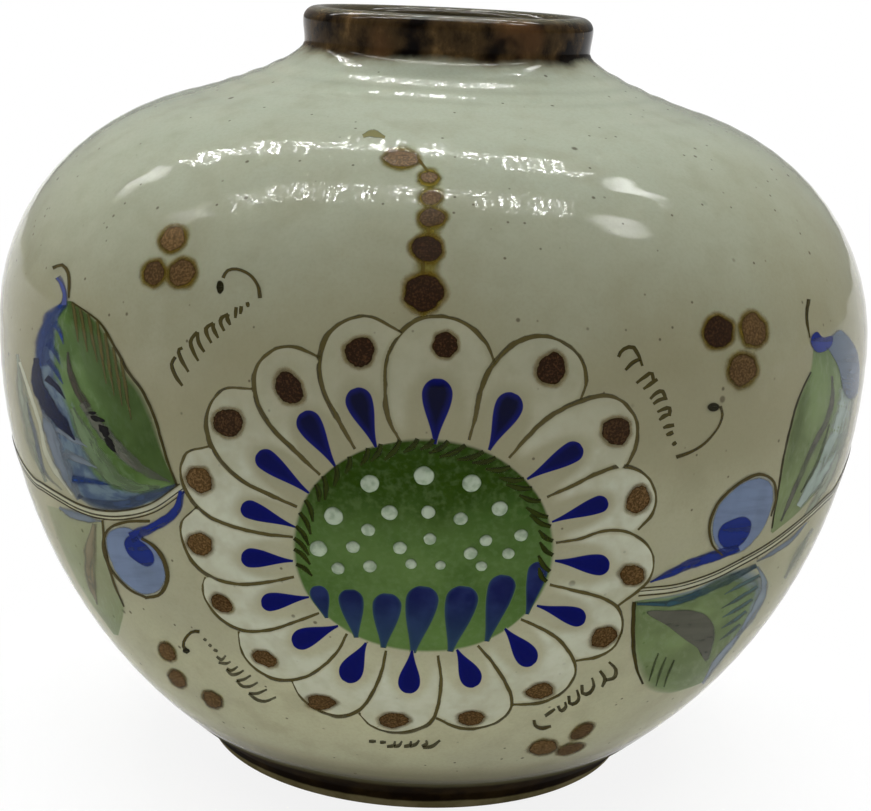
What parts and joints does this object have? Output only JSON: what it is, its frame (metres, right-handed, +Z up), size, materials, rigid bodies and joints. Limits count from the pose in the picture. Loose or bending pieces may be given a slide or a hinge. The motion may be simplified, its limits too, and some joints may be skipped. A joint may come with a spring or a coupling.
{
  "type": "painted stoneware vase",
  "caption": "Squat round-bellied stoneware vase with a short neck, thick rolled rim and turned foot, painted with a large daisy-like flower and leaf sprays, for holding cut flowers.",
  "frame": {"origin": "centre of the foot at the rest plane", "axes": "+Z up along the turning axis; -Y towards the front, where the flower is; +X to the viewer's right when facing the flower"},
  "size_m": [0.178, 0.1783, 0.154],
  "materials": {
    "grey_glaze": "glossy grey-green transparent glaze over stoneware",
    "iron_brown_glaze": "streaky dark iron-brown glaze",
    "white_slip": "raised white slip under the glaze"
  },
  "bodies": {
    "root": {"lower_bowl": "grey_glaze", "shoulder_dome": "grey_glaze", "neck_collar": "grey_glaze", "foot_ring": "iron_brown_glaze", "rim_ring": "iron_brown_glaze", "petal_loop_01": "white_slip", "petal_loop_02": "white_slip", "petal_loop_03": "white_slip", "petal_loop_04": "white_slip", "petal_loop_05": "white_slip", "petal_loop_06": "white_slip", "petal_loop_07": "white_slip", "petal_loop_08": "white_slip", "petal_loop_09": "white_slip", "petal_loop_10": "white_slip", "petal_loop_11": "white_slip", "petal_loop_12": "white_slip", "petal_loop_13": "white_slip", "petal_loop_14": "white_slip", "petal_loop_15": "white_slip", "petal_loop_16": "white_slip", "petal_loop_17": "white_slip", "slip_dot_01": "white_slip", "slip_dot_02": "white_slip", "slip_dot_03": "white_slip", "slip_dot_04": "white_slip", "slip_dot_05": "white_slip", "slip_dot_06": "white_slip", "slip_dot_07": "white_slip", "slip_dot_08": "white_slip", "slip_dot_09": "white_slip", "slip_dot_10": "white_slip", "slip_dot_11": "white_slip", "slip_dot_12": "white_slip", "slip_dot_13": "white_slip", "slip_dot_14": "white_slip", "slip_dot_15": "white_slip", "slip_dot_16": "white_slip", "slip_dot_17": "white_slip", "slip_dot_18": "white_slip", "slip_dot_19": "white_slip", "slip_dot_20": "white_slip", "slip_dot_21": "white_slip", "slip_dot_22": "white_slip"}
  },
  "joints": []
}
